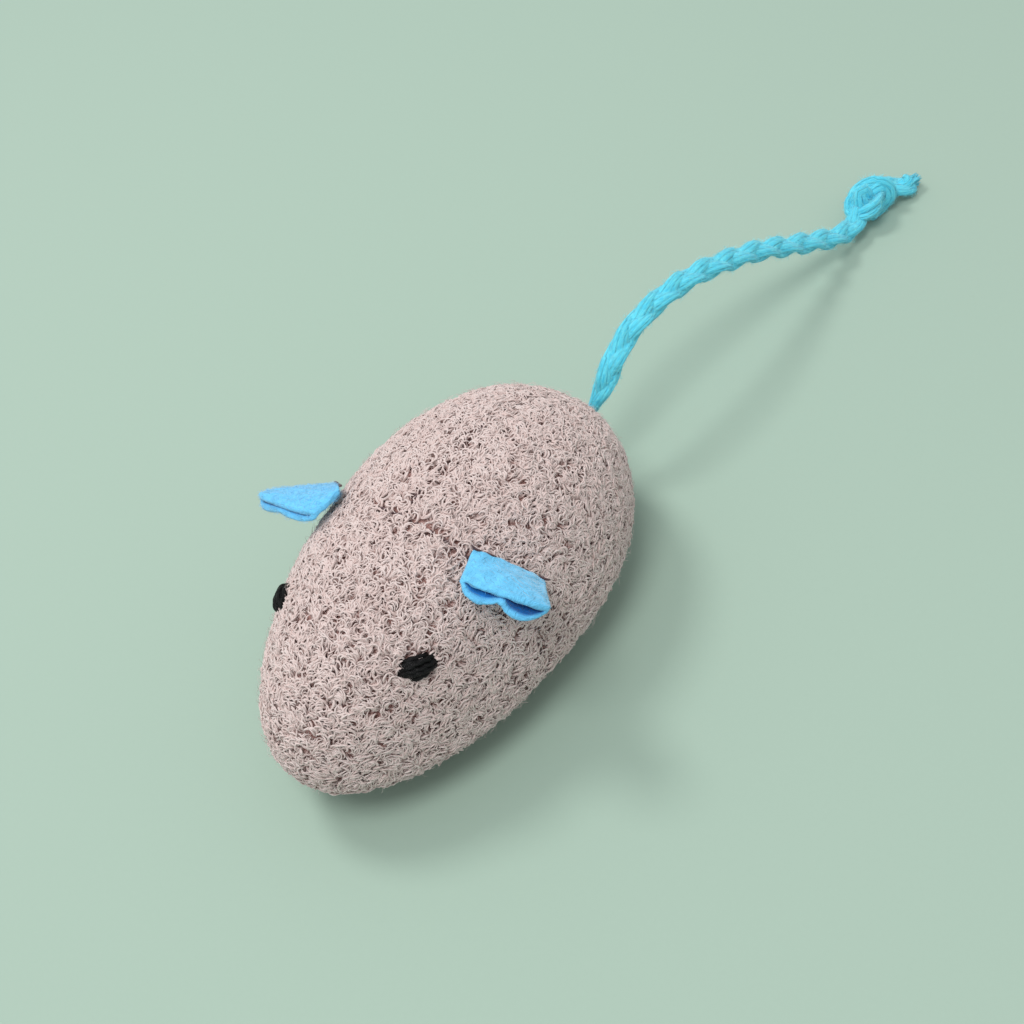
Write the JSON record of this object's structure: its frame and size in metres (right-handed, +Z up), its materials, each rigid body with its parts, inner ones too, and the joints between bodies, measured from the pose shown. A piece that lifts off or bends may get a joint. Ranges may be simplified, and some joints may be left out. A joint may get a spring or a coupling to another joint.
{
  "type": "clockwork mouse",
  "caption": "Stuffed fleece mouse with felt ears, stitched eyes and a braided yarn tail that pulls out to wind a spring motor inside, whose off-centre weight shakes the body.",
  "frame": {"origin": "on the ground under the middle of the stuffed body, ears included and the tail left out", "axes": "+X to the nose, +Y to the mouse's left, +Z up"},
  "size_m": [0.1505, 0.0476, 0.033],
  "materials": {
    "fleece": "short curly pile",
    "felt": "pressed wool felt",
    "eye_thread": "thick embroidery thread",
    "seam_thread": "sewing thread",
    "stuffing": "polyester fibre",
    "yarn": "braided flat yarn",
    "cord": "thin braided cord",
    "casing": "moulded, slightly grained",
    "drum": "moulded acetal",
    "brass": "cut and polished",
    "steel": "bright drawn"
  },
  "bodies": {
    "body": {"head_panel": "fleece", "back_panel_left": "fleece", "back_panel_right": "fleece", "belly_panel": "fleece", "eye_left": "eye_thread", "eye_right": "eye_thread", "thread_back_seam": "seam_thread", "thread_cross_seam": "seam_thread", "thread_belly_left": "seam_thread", "thread_belly_right": "seam_thread", "stuffing_head": "stuffing", "stuffing_middle": "stuffing", "stuffing_rump": "stuffing", "tail_bush": "casing", "casing_lower": "casing", "casing_upper": "casing", "casing_screws": "steel", "cord_bush": "brass", "mainspring": "steel", "thrust_washers": "steel"},
    "cord": {"pull_cord": "cord"},
    "tail": {"tail_braid": "yarn", "tail_knot": "yarn", "tail_tip": "yarn"},
    "ear_left": {"ear_left": "felt"},
    "ear_right": {"ear_right": "felt"},
    "drum": {"drum_core": "drum", "drum_wheel": "brass", "drum_arbor": "steel", "cord_turns": "cord"},
    "idler": {"idler_gear": "brass", "idler_arbor": "steel"},
    "eccentric": {"eccentric_pinion": "brass", "eccentric_weight": "steel", "eccentric_arbor": "steel"}
  },
  "joints": [
    {"name": "drum_spin", "type": "hinge", "parent": "body", "child": "drum", "pos_m": [-0.0085, 0.0035, 0.013], "axis": [0, 0, -1], "range_deg": [0, 392], "stiffness_Nm_per_rad": 0.0006, "springref_deg": -114.59},
    {"name": "tail_pull", "type": "slide", "parent": "body", "child": "cord", "axis": [-1, 0, 0], "range_m": [0, 0.024]},
    {"name": "idler_spin", "type": "hinge", "parent": "body", "child": "idler", "pos_m": [0.00012, 0.00198, 0.013], "axis": [0, 0, -1], "range_deg": [-1569, 0]},
    {"name": "eccentric_spin", "type": "hinge", "parent": "body", "child": "eccentric", "pos_m": [0.00817, 0.00198, 0.013], "axis": [0, 0, -1], "range_deg": [0, 5647]},
    {"name": "tail_swing", "type": "hinge", "parent": "cord", "child": "tail", "pos_m": [-0.0362, 0, 0.013], "axis": [0, 0, 1], "range_deg": [-30, 30]},
    {"name": "ear_left_flap", "type": "hinge", "parent": "body", "child": "ear_left", "pos_m": [0.0011, 0.01487, 0.02719], "axis": [0.3713, -0.6455, 0.6674], "range_deg": [-15, 30], "stiffness_Nm_per_rad": 0.0004},
    {"name": "ear_right_flap", "type": "hinge", "parent": "body", "child": "ear_right", "pos_m": [0.0011, -0.01487, 0.02719], "axis": [-0.3713, -0.6455, -0.6674], "range_deg": [-5, 35], "stiffness_Nm_per_rad": 0.0004}
  ],
  "couplings": [
    {"joint": "tail_pull", "follows": "drum_spin", "m_per_rad": 0.0035},
    {"joint": "idler_spin", "follows": "drum_spin", "ratio": -4},
    {"joint": "eccentric_spin", "follows": "drum_spin", "ratio": 14.4}
  ]
}
